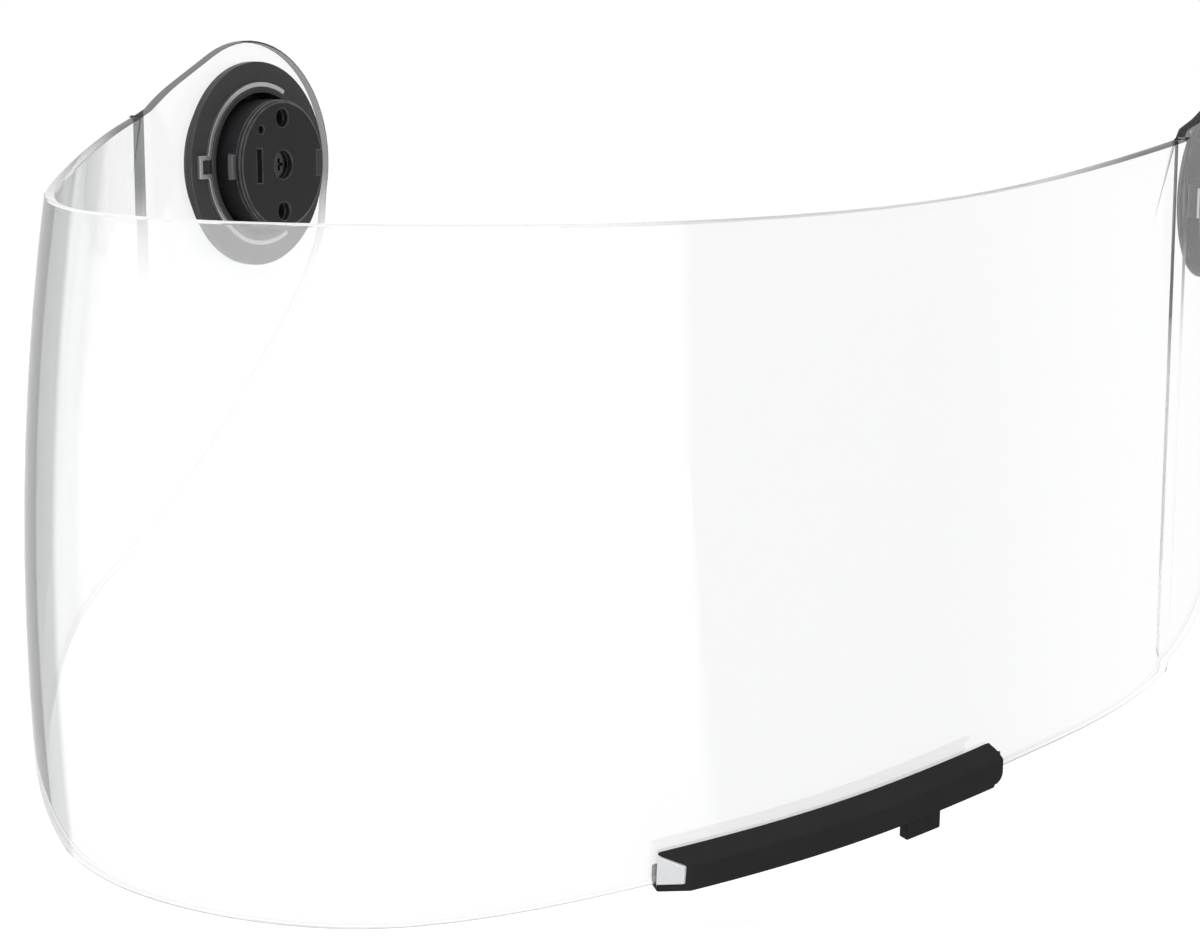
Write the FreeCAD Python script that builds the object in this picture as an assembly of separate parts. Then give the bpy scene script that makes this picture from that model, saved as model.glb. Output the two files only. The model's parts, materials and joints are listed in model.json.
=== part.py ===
import FreeCAD, Part
import math
import os
from FreeCAD import Matrix, Vector

# A clear visor for a full-face motorcycle helmet, with a pivot mechanism in each ear.
# Millimetres. +Z is up, the visor faces -Y and +X is the wearer's left. The origin is the middle
# of the line through the two pivots. The visor is drawn closed.

# Shell, seen from above: a front arc, a side arc, a small step, a temple arc and a straight ear.
wall = 2.2
front_radius = 73.5
front_angle = 33.2
side_radius = 201.5
side_angle = 74.5
step_length = 3.0
step_depth = 1.5
temple_radius = 44.0
ear_straight = 26.0

# Shell, seen from the front and the side.
lens_height = 114.5
pivot_rise = 113.5
bulge_radius = 527.0
bulge_rise = 31.0
bulge_fade_angle = 48.0
ear_radius = 29.5
ear_corner_angle = -15.0
trim = 8.0
upright_steps = 4
side_steps = 8
temple_steps = 3

# Points of the upper edge: how far ahead of the pivot, as a share of the pivot's depth behind the
# front, and how far above the front's upper edge, as a share of the lens height.
upper_edge_shares = [(1.0, 0.0), (0.75, 0.0), (0.47, 0.034), (0.245, 0.099)]
# Points of the lower edge: the same depth shares, and the rise above the front's lower edge.
lower_edge_shares = [
    (1.0, 0.0), (0.81, 0.049), (0.63, 0.114), (0.44, 0.185), (0.26, 0.252), (0.13, 0.365),
    (-0.03, 0.586), (-0.085, 0.668), (-0.128, 0.751), (-0.161, 0.838),
]

# Clearances.
running_gap = 0.3
side_gap = 0.1
fit_gap = 0.03
journal_gap = 0.05
overrun = 1.0

# Flange ring that carries the ear.
flange_radius = 24.5
flange_thickness = 2.0
neck_radius = 19.0
ring_bore = 17.1
collar_radius = 18.4
collar_height = 1.2
tooth_crest = 16.0
tooth_start = 1.6
tooth_end = 4.2
notch_radius = 1.05
notch_centre = 15.8
opening_angle = 55.0
detent_steps = 5
tooth_lead = 8.0

# Retaining clip of flat spring steel, open at the back, with a square loop at the front.
clip_width = 1.1
clip_thickness = 1.0
clip_end_angle = 63.0
clip_loop_length = 3.0
clip_loop_half_height = 2.7
clip_edge = 0.25

# Outer cap, small enough to lie behind the flange, and the screws in its lobes that clamp it.
cap_radius = 21.0
cap_lobe_radius = 2.6
cap_thickness = 2.0
cap_bevel = 0.6
cap_screw_count = 3
cap_screw_circle = 20.9
cap_screw_turn = -90.0
cap_screw_step = 90.0
cap_screw_radius = 1.0
cap_screw_head = 1.9
cap_screw_head_height = 1.0
cap_screw_depth = 1.4
socket_radius = 0.8
socket_depth = 0.6
washer_outer = 12.0
washer_inner = 4.0
washer_thickness = 0.5

# Pivot pin, with its head sunk in the hub, its washer and the flat screw that closes the cap on it.
pin_radius = 2.5
pin_head_radius = 3.1
pin_head_height = 1.4
pin_washer_thickness = 0.5
pin_screw_radius = 1.5
pin_screw_length = 6.0
pin_screw_head = 5.5
pin_screw_head_height = 0.9
coin_slot_width = 1.2
coin_slot_depth = 0.5
cross_width = 0.8
cross_depth = 0.7

# Hub, bolted to the helmet through its two holes.
hub_radius = 15.5
hub_height = 10.9
hub_cover_thickness = 1.6
hub_edge = 0.6
hub_recess_radius = 3.4
hub_recess_depth = 3.5
bolt_offset = 11.2
bolt_radius = 2.2
bolt_head_radius = 3.7
key_half_width = 3.0
key_depth = 2.8
key_height = 5.6
locating_radius = 1.0
locating_depth = 2.6
locating_back = -7.9
locating_up = 8.6
stop_gap_angle = 1.5
stop_angle = 6.0
stop_radius = 16.6
stop_start = 2.0
stop_end = 3.8

# Detent pawl, drawn pressed in, and its spring.
pawl_half_width = 2.0
pawl_thickness = 2.2
pawl_start = 1.8
pawl_back = 9.4
pawl_shoulder = 13.6
pawl_travel = 0.85
nose_radius = 0.75
mortise_end = 4.6
spring_wire = 0.35
detent_coil_radius = 0.9
detent_turns = 6

# Lock slider, drawn sprung out, and its spring.
slider_half_width = 4.8
slider_thickness = 2.8
slider_cover_gap = 0.2
slider_back = -6.9
slider_shoulder = -13.8
slider_nose = -16.6
slider_nose_half_width = 2.9
slider_nose_thickness = 2.1
slider_ramp = 0.9
slider_travel = 1.2
slider_channel_end = -4.4
slot_place = -8.7
slot_width = 2.0
slot_half_height = 4.0
nail_groove_width = 1.4
nail_groove_depth = 0.4
nail_groove_half_height = 3.7
slider_bore_radius = 0.9
slider_bore_end = -11.0
slider_coil_radius = 0.6
slider_turns = 9

# Opening tab on the lower edge, on the wearer's left. Places along the edge are arc lengths from
# the middle of the front.
tab_start = 81.7
tab_end = 143.5
tab_sections = 7
halvings = 50
tab_top = 6.0
tab_bottom = 1.0
tab_ridge = 3.5
tab_depth = 3.8
tab_skin = 0.8
tab_inner_leg = 0.9
tab_inner_rise = 2.6
tab_floor_gap = 0.25
tab_wall_gap = 0.15
tape_thickness = 0.4
tape_gap = 0.1
tab_oblique = 6.0
tab_corner = 2.2
peg_setback = 12.0
peg_length = 6.5
peg_drop = 3.3
peg_thickness = 2.6

# Values worked out from the ones above.
front_turn = math.radians(front_angle)
side_turn = math.radians(side_angle)
fade_turn = math.radians(bulge_fade_angle)
quarter = math.pi / 2
side_fade_length = side_radius * (side_turn - fade_turn)
fade_length = side_fade_length + step_length + temple_radius * (quarter - side_turn)


def heading_out(turn):
    """Outward direction, seen from above, where the shell has turned this far from the front."""
    return Vector(math.sin(turn), -math.cos(turn), 0)


def heading_along(turn):
    """Direction along the shell, towards the ear."""
    return Vector(math.cos(turn), math.sin(turn), 0)


front_centre_at_zero = Vector(0, front_radius, 0)
side_centre_at_zero = front_centre_at_zero + heading_out(front_turn) * (front_radius - side_radius)
side_end_at_zero = side_centre_at_zero + heading_out(side_turn) * side_radius
step_end_at_zero = (side_end_at_zero + heading_along(side_turn) * step_length
                    - heading_out(side_turn) * step_depth)
temple_centre_at_zero = step_end_at_zero - heading_out(side_turn) * temple_radius
ear_start_at_zero = temple_centre_at_zero + heading_out(quarter) * temple_radius
pivot_depth = ear_start_at_zero.y + ear_straight
to_row = Vector(0, -pivot_depth, 0)

front_centre = front_centre_at_zero + to_row
side_centre = side_centre_at_zero + to_row
side_end = side_end_at_zero + to_row
step_end = step_end_at_zero + to_row
temple_centre = temple_centre_at_zero + to_row
ear_x = ear_start_at_zero.x
lower_front = -pivot_rise
upper_front = lens_height - pivot_rise
bulge_place = lower_front + bulge_rise
band_low = lower_front - trim
band_high = ear_radius + trim
across = Vector(1, 0, 0)

flange_face = wall + flange_thickness
collar_face = flange_face + collar_height
clip_inner = collar_radius + side_gap
clip_outer = clip_inner + clip_width
hub_start = washer_thickness + running_gap
hub_face = hub_start + hub_height
cover_start = hub_face - hub_cover_thickness
shoulder = hub_face - hub_recess_depth
pin_start = -cap_thickness + side_gap + pin_screw_head_height
pin_seat = shoulder + side_gap + pin_washer_thickness
channel_face = cover_start
slider_top = channel_face - slider_cover_gap
slider_bottom = slider_top - slider_thickness
slider_bore_place = slider_top - nail_groove_depth - side_gap - slider_bore_radius - fit_gap
pitch_angle = opening_angle / detent_steps
nose_rest = notch_centre - pawl_travel


# The shell.

def bulge(height, amount):
    """How far the shell draws in at a height, from its widest line. amount fades it out."""
    return amount * (height - bulge_place) ** 2 / (2 * bulge_radius)


def upright(place, turn, amount, depth):
    """Upright curve of the shell, this deep inside its outer face, as a smooth edge."""
    points = []
    for k in range(upright_steps + 1):
        height = band_low + (band_high - band_low) * k / upright_steps
        inward = bulge(height, amount) + depth
        points.append(place - heading_out(turn) * inward + Vector(0, 0, height))
    curve = Part.BSplineCurve()
    curve.interpolate(points)
    return curve.toShape(), points[0], points[-1]


def band_wire(place, turn, amount):
    """Closed upright section of the shell's wall."""
    outer, outer_low, outer_high = upright(place, turn, amount, 0)
    inner, inner_low, inner_high = upright(place, turn, amount, wall)
    return Part.Wire([
        outer, Part.makeLine(outer_high, inner_high), inner, Part.makeLine(inner_low, outer_low),
    ])


def swept_band(centre, radius, turn_from, turn_to):
    """Part of the shell that runs along one arc."""
    section = Part.Face(band_wire(centre + heading_out(turn_from) * radius, turn_from, 1))
    return section.revolve(centre, Vector(0, 0, 1), math.degrees(turn_to - turn_from))


def fade(distance):
    """Share of the bulge that is left at a distance along the shell from where it starts to fade."""
    share = distance / fade_length
    return 1 - share * share * (3 - 2 * share)


def arc_band(centre, radius, turn_from, turn_to, distance, steps):
    """Part of the shell along one arc on which the bulge fades."""
    sections = []
    for k in range(steps + 1):
        turn = turn_from + (turn_to - turn_from) * k / steps
        amount = fade(distance + radius * (turn - turn_from))
        sections.append(band_wire(centre + heading_out(turn) * radius, turn, amount))
    return Part.makeLoft(sections, True, False)


def fading_side_band():
    """Rear of the side arc, along which the bulge fades."""
    return arc_band(side_centre, side_radius, fade_turn, side_turn, 0, side_steps)


def step_band():
    """The short slope where the ear begins."""
    return Part.makeLoft([band_wire(side_end, side_turn, fade(side_fade_length)),
                          band_wire(step_end, side_turn, fade(side_fade_length + step_length))],
                         True, True)


def temple_band():
    """The temple arc, at the end of which the ear is flat."""
    return arc_band(temple_centre, temple_radius, side_turn, quarter,
                    side_fade_length + step_length, temple_steps)


def ear_band():
    """The flat ear, longer than needed, to be trimmed by the outline."""
    place = temple_centre + heading_out(quarter) * temple_radius
    section = Part.Face(band_wire(place, quarter, 0))
    return section.extrude(Vector(0, ear_straight + ear_radius + trim, 0))


def mirrored(shape):
    return shape.mirror(Vector(0, 0, 0), across)


def turned(shape):
    """The other side's copy of a coil, by half a turn about the Y axis, which keeps its hand."""
    other = shape.copy()
    other.rotate(Vector(0, 0, 0), Vector(0, 1, 0), 180)
    return other


def edge_point(shares, start_height):
    """Point of the side outline from its depth share and its height share."""
    ahead, rise = shares
    return Vector(0, -pivot_depth * ahead, start_height + lens_height * rise)


def smooth_curve(points, level_start):
    """Smooth curve through points, level at its first end."""
    curve = Part.BSplineCurve()
    start = Vector(0, 1, 0) * (points[1] - points[0]).Length
    if level_start:
        end = points[-1] - points[-2]
        curve.interpolate(Points=points, InitialTangent=start, FinalTangent=end)
    else:
        curve.interpolate(points)
    return curve


def ear_point(angle):
    turn = math.radians(angle)
    return Vector(0, ear_radius * math.cos(turn), ear_radius * math.sin(turn))


upper_points = [edge_point(s, upper_front) for s in upper_edge_shares]
lower_points = [edge_point(s, lower_front) for s in lower_edge_shares] + [ear_point(ear_corner_angle)]
upper_curve = smooth_curve(upper_points, True)
lower_curve = smooth_curve(lower_points, True)


def tangent_angle(point):
    """Angle on the ear circle where a line from this point touches it from above."""
    distance = math.hypot(point.y, point.z)
    towards = math.degrees(math.atan2(point.z, point.y)) % 360
    return towards - math.degrees(math.acos(ear_radius / distance))


def outline_prism():
    """Side outline of the visor, pulled through the whole width."""
    first_up, last_up = upper_points[0], upper_points[-1]
    first_low = lower_points[0]
    ahead = Vector(0, -trim, 0)
    touch = tangent_angle(last_up)
    middle = (touch + ear_corner_angle) / 2
    arc = Part.Arc(ear_point(touch), ear_point(middle), ear_point(ear_corner_angle)).toShape()
    wire = Part.Wire(Part.__sortEdges__([
        Part.makeLine(first_up + ahead, first_up), upper_curve.toShape(),
        Part.makeLine(last_up, ear_point(touch)), arc, lower_curve.toShape(),
        Part.makeLine(first_low, first_low + ahead),
        Part.makeLine(first_low + ahead, first_up + ahead),
    ]))
    reach = ear_x + trim
    face = Part.Face(wire)
    face.translate(across * -reach)
    return face.extrude(across * (2 * reach))


def disc(radius, start, end, back=0.0, up=0.0):
    """Round bar along the pivot axis of the left ear, between two depths inside its outer face."""
    return Part.makeCylinder(radius, end - start, Vector(ear_x - end, back, up), across)


def block(start, end, back_from, back_to, up_from, up_to):
    """Block in the left ear: two depths, two places along Y and two along Z."""
    return Part.makeBox(end - start, back_to - back_from, up_to - up_from,
                        Vector(ear_x - end, back_from, up_from))


def on_circle(radius, angle):
    turn = math.radians(angle)
    return radius * math.cos(turn), radius * math.sin(turn)


def cap_screw_places():
    """Below, behind and above the pivot, so that no lobe shows beside the flange at the front."""
    return [on_circle(cap_screw_circle, cap_screw_turn + cap_screw_step * k)
            for k in range(cap_screw_count)]


def visor_lens():
    left = [swept_band(side_centre, side_radius, front_turn, fade_turn),
            fading_side_band(), step_band(), temple_band(), ear_band()]
    front = swept_band(front_centre, front_radius, -front_turn, front_turn)
    band = front.fuse(left + [mirrored(b) for b in left])
    shell = band.common(outline_prism())
    holes = [disc(neck_radius + side_gap, -overrun, wall + overrun)]
    for back, up in cap_screw_places():
        holes.append(disc(cap_screw_radius + side_gap, -overrun, wall + overrun, back, up))
    return shell.cut(holes + [mirrored(h) for h in holes])


# The pieces that turn with the ear. Each is made for the left ear.

def sector(inner, outer, start, end, angle_from, angle_to):
    """Part of a flat ring between two angles, measured from +Y towards +Z."""
    x = ear_x - end

    def at(radius, angle):
        back, up = on_circle(radius, angle)
        return Vector(x, back, up)
    middle = (angle_from + angle_to) / 2
    wire = Part.Wire([
        Part.Arc(at(outer, angle_from), at(outer, middle), at(outer, angle_to)).toShape(),
        Part.makeLine(at(outer, angle_to), at(inner, angle_to)),
        Part.Arc(at(inner, angle_to), at(inner, middle), at(inner, angle_from)).toShape(),
        Part.makeLine(at(inner, angle_from), at(outer, angle_from)),
    ])
    return Part.Face(wire).extrude(across * (end - start))


def ear_ring():
    """Flange ring with its neck, its collar and the row of detent notches."""
    body = disc(neck_radius, 0, wall).fuse([
        disc(flange_radius, wall, flange_face), disc(collar_radius, flange_face, collar_face)])
    body = body.cut(disc(ring_bore, -overrun, collar_face + overrun))
    root = (ring_bore + neck_radius) / 2
    teeth = sector(tooth_crest, root, tooth_start, tooth_end,
                   -tooth_lead, opening_angle + tooth_lead)
    notches = []
    for k in range(detent_steps + 1):
        back, up = on_circle(notch_centre, k * pitch_angle)
        notches.append(disc(notch_radius, tooth_start - overrun, tooth_end + overrun, back, up))
    ring = body.fuse(teeth.cut(notches))
    holes = [disc(cap_screw_radius + fit_gap, wall - overrun, wall + cap_screw_depth + side_gap,
                  back, up) for back, up in cap_screw_places()]
    return ring.cut(holes)


def retaining_clip():
    """Flat spring clip round the collar, open at the back, with its square loop at the front."""
    start, end = flange_face, flange_face + clip_thickness
    band = sector(clip_inner, clip_outer, start, end, clip_end_angle, 360 - clip_end_angle)
    inside = clip_loop_half_height - clip_width
    band = band.cut(block(start - overrun, end + overrun, -clip_outer - overrun,
                          -clip_inner + overrun, -inside, inside))
    loop_end = clip_outer + clip_loop_length
    loop = block(start, end, -loop_end, -clip_inner - side_gap,
                 -clip_loop_half_height, clip_loop_half_height)
    loop = loop.cut(block(start - overrun, end + overrun, -loop_end + clip_width,
                          -clip_inner + overrun, -inside, inside))
    return band.fuse(loop).removeSplitter()


def bevelled_disc(radius, start, end, bevel, back=0.0, up=0.0):
    """Disc whose outward rim is bevelled."""
    cone = Part.makeCone(radius, radius - bevel, bevel, Vector(ear_x - start - bevel, back, up), across)
    return disc(radius, start + bevel, end, back, up).fuse(cone)


def pivot_cap():
    lobes = [bevelled_disc(cap_lobe_radius, -cap_thickness, 0, cap_bevel, back, up)
             for back, up in cap_screw_places()]
    cap = bevelled_disc(cap_radius, -cap_thickness, 0, cap_bevel).fuse(lobes).removeSplitter()
    holes = [disc(pin_radius + fit_gap, -cap_thickness - overrun, overrun),
             disc(pin_screw_head + side_gap, -cap_thickness - overrun, pin_start)]
    head_seat = -cap_thickness + cap_screw_head_height + side_gap
    for back, up in cap_screw_places():
        holes.append(disc(cap_screw_radius + side_gap, -cap_thickness - overrun, overrun, back, up))
        holes.append(disc(cap_screw_head + side_gap, -cap_thickness - overrun, head_seat, back, up))
    return cap.cut(holes)


def cap_screws():
    """The three socket screws of one ear."""
    screws = []
    top = -cap_thickness + side_gap
    seat = top + cap_screw_head_height
    for back, up in cap_screw_places():
        screw = disc(cap_screw_head, top, seat, back, up).fuse(
            disc(cap_screw_radius, seat, wall + cap_screw_depth, back, up))
        screws.append(screw.cut(disc(socket_radius, top - overrun, top + socket_depth, back, up)))
    return Part.makeCompound(screws)


def thrust_washer():
    return disc(washer_outer, 0, washer_thickness).cut(
        disc(washer_inner, -overrun, washer_thickness + overrun))


def pivot_pin():
    """Pin from the cap through the hub, with a threaded bore and a cross in its head."""
    top = pin_seat + pin_head_height
    pin = disc(pin_radius, pin_start, pin_seat).fuse(disc(pin_head_radius, pin_seat, top))
    arm = pin_head_radius - 2 * cross_width
    half = cross_width / 2
    return pin.cut([
        disc(pin_screw_radius + fit_gap, pin_start - overrun, pin_start + pin_screw_length + side_gap),
        block(top - cross_depth, top + overrun, -arm, arm, -half, half),
        block(top - cross_depth, top + overrun, -half, half, -arm, arm),
    ])


def pin_washer():
    return disc(pin_head_radius, pin_seat - pin_washer_thickness, pin_seat).cut(
        disc(pin_radius + side_gap, shoulder, pin_seat + overrun))


def pin_screw():
    """Flat screw with a coin slot, sunk in the cap."""
    top = pin_start - pin_screw_head_height
    screw = disc(pin_screw_head, top, pin_start).fuse(
        disc(pin_screw_radius, pin_start, pin_start + pin_screw_length))
    half = coin_slot_width / 2
    reach = pin_screw_head + overrun
    return screw.cut(block(top - overrun, top + coin_slot_depth, -reach, reach, -half, half))


# The pieces that stay on the helmet.

def bolt_holes(start, end):
    return [disc(bolt_radius, start, end, 0, side * bolt_offset) for side in (-1, 1)]


def key_notch(start, end):
    return block(start, end, hub_radius - key_depth, hub_radius + overrun,
                 -key_half_width, key_half_width)


def bolt_sinks():
    """Countersinks for the mounting screws, on the hub's outward end."""
    sinks = []
    depth = bolt_head_radius - bolt_radius
    for side in (-1, 1):
        sinks.append(Part.makeCone(bolt_radius, bolt_head_radius, depth,
                                   Vector(ear_x - hub_start - depth, 0, side * bolt_offset), across))
    return sinks


def hub_stops():
    """Two lugs that the ends of the notched row meet just past the ends of the travel."""
    first = opening_angle + tooth_lead + stop_gap_angle
    inner = (hub_radius + stop_radius) / 2 - (stop_radius - hub_radius)
    return [sector(inner, stop_radius, stop_start, stop_end, low, low + stop_angle)
            for low in (first, -first - stop_angle)]


def slider_channel():
    wide = block(slider_bottom - side_gap, cover_start + overrun,
                 slider_shoulder - running_gap, slider_channel_end,
                 -slider_half_width - side_gap, slider_half_width + side_gap)
    window = block(slider_top - slider_nose_thickness - side_gap, cover_start + overrun,
                   -hub_radius - overrun, slider_shoulder,
                   -slider_nose_half_width - side_gap, slider_nose_half_width + side_gap)
    return wide.fuse(window)


def pawl_mortise():
    return block(pawl_start - side_gap, pawl_start + pawl_thickness + side_gap,
                 mortise_end, hub_radius + overrun,
                 -pawl_half_width - side_gap, pawl_half_width + side_gap)


def locating_hole(start):
    return disc(locating_radius, start, hub_face + overrun, locating_back, locating_up)


def pivot_hub():
    body = disc(hub_radius, hub_start, cover_start).fuse(hub_stops())
    tools = bolt_holes(hub_start - overrun, cover_start + overrun) + bolt_sinks()
    tools.append(disc(pin_radius + journal_gap, hub_start - overrun, shoulder + overrun))
    tools.append(disc(hub_recess_radius, shoulder, cover_start + overrun))
    tools.append(key_notch(key_height, cover_start + overrun))
    tools.append(slider_channel())
    tools.append(pawl_mortise())
    tools.append(locating_hole(hub_face - locating_depth))
    return body.cut(tools)


def hub_cover():
    """Face plate over the slider, with a bevelled rim."""
    cone = Part.makeCone(hub_radius - hub_edge, hub_radius, hub_edge,
                         Vector(ear_x - hub_face, 0, 0), across)
    plate = disc(hub_radius, cover_start, hub_face - hub_edge).fuse(cone)
    tools = bolt_holes(cover_start - overrun, hub_face + overrun)
    tools.append(disc(hub_recess_radius, cover_start - overrun, hub_face + overrun))
    tools.append(key_notch(cover_start - overrun, hub_face + overrun))
    tools.append(locating_hole(cover_start - overrun))
    half = slot_width / 2
    tools.append(block(cover_start - overrun, hub_face + overrun, slot_place - half,
                       slot_place + half, -slot_half_height, slot_half_height))
    return plate.cut(tools)


def detent_pawl():
    """Sprung pawl with a round nose, drawn pressed in so that the teeth pass it."""
    end = pawl_start + pawl_thickness
    body = block(pawl_start, end, pawl_back, pawl_shoulder, -pawl_half_width, pawl_half_width)
    neck = block(pawl_start, end, pawl_shoulder, nose_rest, -nose_radius, nose_radius)
    return body.fuse([neck, disc(nose_radius, pawl_start, end, nose_rest)]).removeSplitter()


def coil(length, radius, turns, start_back, depth):
    """Coil spring along +Y from a place on the pivot's level, at a depth in the ear."""
    free = length - spring_wire
    helix = Part.makeHelix(free / turns, free, radius)
    profile = Part.Wire(Part.makeCircle(spring_wire / 2, Vector(radius, 0, 0), Vector(0, 1, 0)))
    spring = Part.Wire(helix).makePipeShell([profile], True, True)
    spring.rotate(Vector(0, 0, 0), across, -90)
    spring.translate(Vector(ear_x - depth, start_back + spring_wire / 2, 0))
    return spring


def detent_spring():
    return coil(pawl_back - mortise_end - 2 * side_gap, detent_coil_radius, detent_turns,
                mortise_end + side_gap, pawl_start + pawl_thickness / 2)


def lock_slider():
    """Latch plate with a nail groove across it, a round spring bore and a ramped nose."""
    body = block(slider_bottom, slider_top, slider_shoulder, slider_back,
                 -slider_half_width, slider_half_width)
    nose_low = slider_top - slider_nose_thickness
    nose = block(nose_low, slider_top, slider_nose, slider_shoulder,
                 -slider_nose_half_width, slider_nose_half_width)
    ramp_points = [Vector(ear_x - nose_low, slider_nose, 0),
                   Vector(ear_x - nose_low - slider_ramp, slider_nose, 0),
                   Vector(ear_x - nose_low, slider_nose + slider_ramp, 0)]
    ramp = Part.Face(Part.makePolygon(ramp_points + ramp_points[:1]))
    ramp.translate(Vector(0, 0, -slider_nose_half_width - overrun))
    ramp = ramp.extrude(Vector(0, 0, 2 * (slider_nose_half_width + overrun)))
    half = nail_groove_width / 2
    groove = block(slider_top - nail_groove_depth, slider_top + overrun, slot_place - half,
                   slot_place + half, -nail_groove_half_height, nail_groove_half_height)
    bore = Part.makeCylinder(slider_bore_radius, slider_back - slider_bore_end + overrun,
                             Vector(ear_x - slider_bore_place, slider_bore_end, 0), Vector(0, 1, 0))
    return body.fuse(nose).removeSplitter().cut([ramp, groove, bore])


def lock_spring():
    length = slider_channel_end - slider_bore_end - 2 * side_gap
    return coil(length, slider_coil_radius, slider_turns, slider_bore_end + side_gap,
                slider_bore_place)


# The opening tab. Its sections are upright, square to the shell, and follow the lower edge.

def height_on(curve, place):
    """Height of a side outline curve at a place along Y."""
    low, high = curve.FirstParameter, curve.LastParameter
    for _ in range(halvings):
        middle = (low + high) / 2
        if curve.value(middle).y < place:
            low = middle
        else:
            high = middle
    return curve.value(low).z


def tab_turn(along):
    """Turn of the shell at an arc length from the middle of the front, on the side arc."""
    return front_turn + (along - front_radius * front_turn) / side_radius


def tab_frame(along):
    """Place on the shell's outer face above the lower edge, its outward direction and height."""
    turn = tab_turn(along)
    place = side_centre + heading_out(turn) * side_radius
    return place, heading_out(turn), height_on(lower_curve, place.y)


def tab_section(points, along):
    """Closed section from points given as outward distance and height above the edge."""
    place, out, edge = tab_frame(along)
    amount = fade(max(0, side_radius * (tab_turn(along) - fade_turn)))
    corners = []
    for outward, up in points:
        height = edge + up
        corners.append(place + out * (outward - bulge(height, amount)) + Vector(0, 0, height))
    return Part.makePolygon(corners + corners[:1])


def tab_sweep(points, start, end):
    """Solid with one section all along a stretch of the lower edge."""
    sections = [tab_section(points, start + (end - start) * k / tab_sections)
                for k in range(tab_sections + 1)]
    return Part.makeLoft(sections, True, False)


def tab_cut_tools():
    """Oblique cut at the tab's front end and the two rounded corners at its rear end."""
    place, out, edge = tab_frame(tab_start)
    along = heading_along(tab_turn(tab_start))
    low = Vector(0, 0, edge - tab_bottom - overrun)
    reach = tab_depth + overrun
    share = reach / tab_depth
    corners = [place + low - along * overrun - out * bulge(edge, 1),
               place + low + along * (tab_oblique * share) + out * reach,
               place + low - along * overrun + out * reach]
    oblique = Part.Face(Part.makePolygon(corners + corners[:1]))
    oblique = oblique.extrude(Vector(0, 0, tab_top + tab_bottom + 2 * overrun))
    return [oblique] + [tab_corner_tool(sign) for sign in (-1, 1)]


def tab_corner_tool(sign):
    """Tool that rounds the upper (1) or lower (-1) corner of the tab's rear end."""
    place, out, edge = tab_frame(tab_end)
    before, _, edge_before = tab_frame(tab_end - tab_corner)
    slope = math.atan2(edge - edge_before, tab_corner)
    along = heading_along(tab_turn(tab_end))
    level = tab_top if sign > 0 else -tab_bottom
    depth = 2 * (tab_depth + wall + overrun)
    block_tool = Part.makeBox(tab_corner + overrun, depth, tab_corner + overrun)
    round_tool = Part.makeCylinder(tab_corner, depth + 2 * overrun, Vector(0, -overrun, 0),
                                   Vector(0, 1, 0))
    tool = block_tool.cut(round_tool)
    turn_down = Matrix()
    turn_down.scale(1, 1, sign)
    tool = tool.transformGeometry(turn_down)
    tool.rotate(Vector(0, 0, 0), Vector(0, 1, 0), -math.degrees(slope))
    tool.translate(Vector(-tab_corner, -depth / 2, edge + level - sign * tab_corner))
    tool.rotate(Vector(0, 0, 0), Vector(0, 0, 1), math.degrees(tab_turn(tab_end)))
    tool.translate(place)
    return tool


def tab_cover():
    """Channel round the lower edge, hollow at the front for the core."""
    inner = -wall - tab_wall_gap
    leg = inner - tab_inner_leg
    face = tape_thickness
    points = [
        (face, tab_top), (tab_depth, tab_ridge), (tab_depth, -tab_bottom), (leg, -tab_bottom),
        (leg, tab_inner_rise), (inner, tab_inner_rise), (inner, -tab_floor_gap),
        (face, -tab_floor_gap), (face, tab_hollow()[0][1] - side_gap),
        (tab_depth - tab_skin + side_gap, tab_hollow()[1][1] - side_gap),
        (tab_depth - tab_skin + side_gap, tab_hollow()[2][1] + side_gap),
        (face, tab_hollow()[3][1] + side_gap),
    ]
    return tab_sweep(points, tab_start, tab_end).cut(tab_cut_tools())


def tab_hollow():
    """Section of the core: two lower corners, then two upper ones."""
    slope = (tab_top - tab_ridge) / (tab_depth - tape_thickness)
    front = tab_depth - tab_skin
    low = tab_floor_gap
    high_front = tab_ridge - tab_skin + slope * (tab_depth - front) - side_gap
    high_back = high_front + slope * (front - tape_thickness)
    return [(tape_thickness, low), (front, low), (front, high_front), (tape_thickness, high_back)]


def tab_core():
    core = tab_sweep(tab_hollow(), tab_start, tab_end - tab_corner)
    return core.cut(tab_cut_tools()[:1])


def tab_tape():
    points = [(tape_gap, tab_floor_gap), (tape_thickness, tab_floor_gap),
              (tape_thickness, tab_top - tab_skin), (tape_gap, tab_top - tab_skin)]
    return tab_sweep(points, tab_start + tab_skin, tab_end - tab_corner)


def tab_peg():
    """Locking peg under the tab."""
    top = -tab_bottom - fit_gap
    foot = top - peg_drop
    front = tab_depth - tab_skin
    back = front - peg_thickness
    points = [(back, top), (front, top), (front, foot), (back, foot)]
    peg_end = tab_end - peg_setback
    return Part.makeLoft([tab_section(points, peg_end - peg_length), tab_section(points, peg_end)],
                         True, True)


pair_makers = {
    "ear_ring": ear_ring,
    "retaining_clip": retaining_clip,
    "pivot_cap": pivot_cap,
    "cap_screws": cap_screws,
    "thrust_washer": thrust_washer,
    "pivot_pin": pivot_pin,
    "pin_washer": pin_washer,
    "pin_screw": pin_screw,
    "pivot_hub": pivot_hub,
    "hub_cover": hub_cover,
    "detent_pawl": detent_pawl,
    "detent_spring": detent_spring,
    "lock_slider": lock_slider,
    "lock_spring": lock_spring,
}
coils = ("detent_spring", "lock_spring")
single_makers = {
    "visor_lens": visor_lens,
    "tab_cover": tab_cover,
    "tab_core": tab_core,
    "tab_tape": tab_tape,
    "tab_peg": tab_peg,
}


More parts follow.
